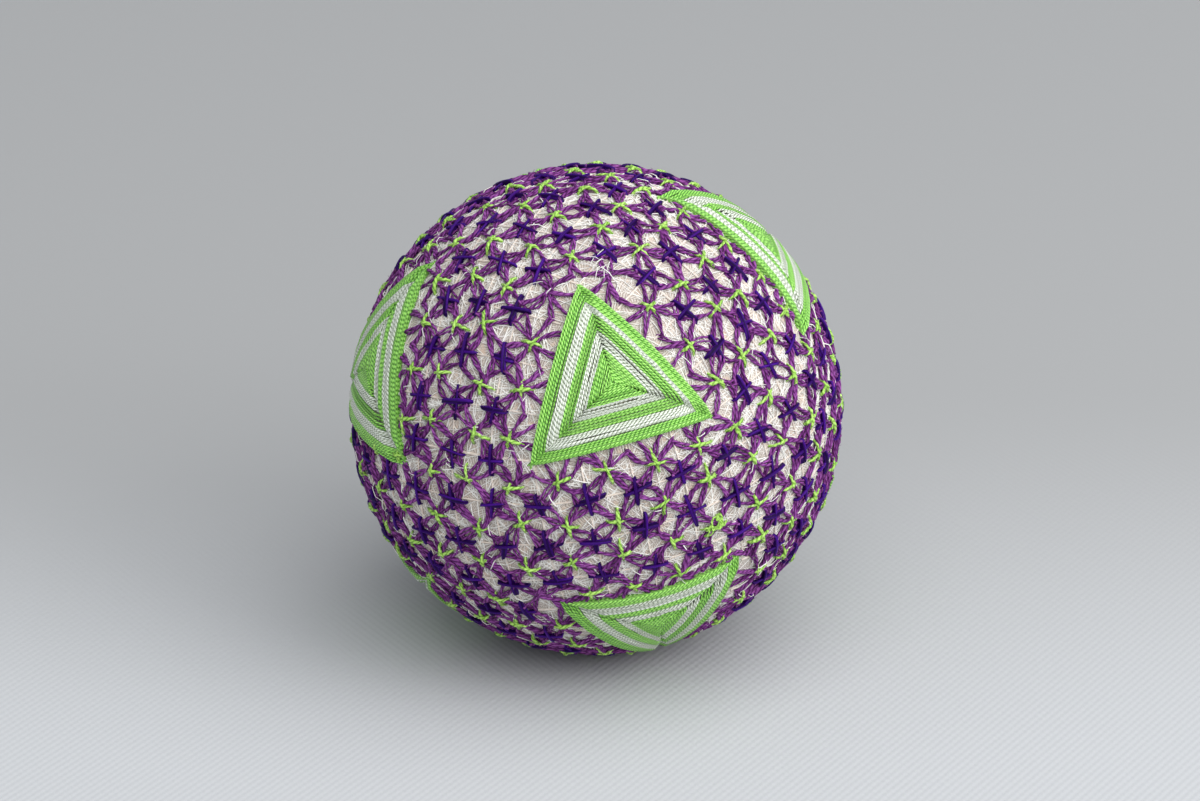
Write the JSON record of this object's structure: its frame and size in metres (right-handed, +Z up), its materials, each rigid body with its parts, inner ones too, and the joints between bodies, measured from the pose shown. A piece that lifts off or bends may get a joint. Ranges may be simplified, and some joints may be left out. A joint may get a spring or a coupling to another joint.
{
  "type": "temari ball",
  "caption": "Round thread-wound ball with raised triangles of laid thread at the corners between bands of stitched lattice, resting on a small flat spot.",
  "frame": {"origin": "middle of the flat spot on which the ball rests", "axes": "+Z up out of the rest spot, -Y towards the front, where one triangle faces the viewer, +X to the viewer's right"},
  "size_m": [0.0963, 0.0945, 0.0938],
  "materials": {
    "winding_thread": "matt white sewing thread, wound at random",
    "triangle_thread": "lime green and white twisted cotton with a slight sheen",
    "lattice_thread": "soft purple twisted cotton",
    "cross_thread": "violet blue twisted cotton with a sheen"
  },
  "bodies": {
    "root": {"wound_ball": "winding_thread", "upper_triangle_1": "triangle_thread", "upper_triangle_2": "triangle_thread", "upper_triangle_3": "triangle_thread", "upper_triangle_4": "triangle_thread", "lower_triangle_1": "triangle_thread", "lower_triangle_2": "triangle_thread", "lower_triangle_3": "triangle_thread", "lower_triangle_4": "triangle_thread"}
  },
  "joints": []
}
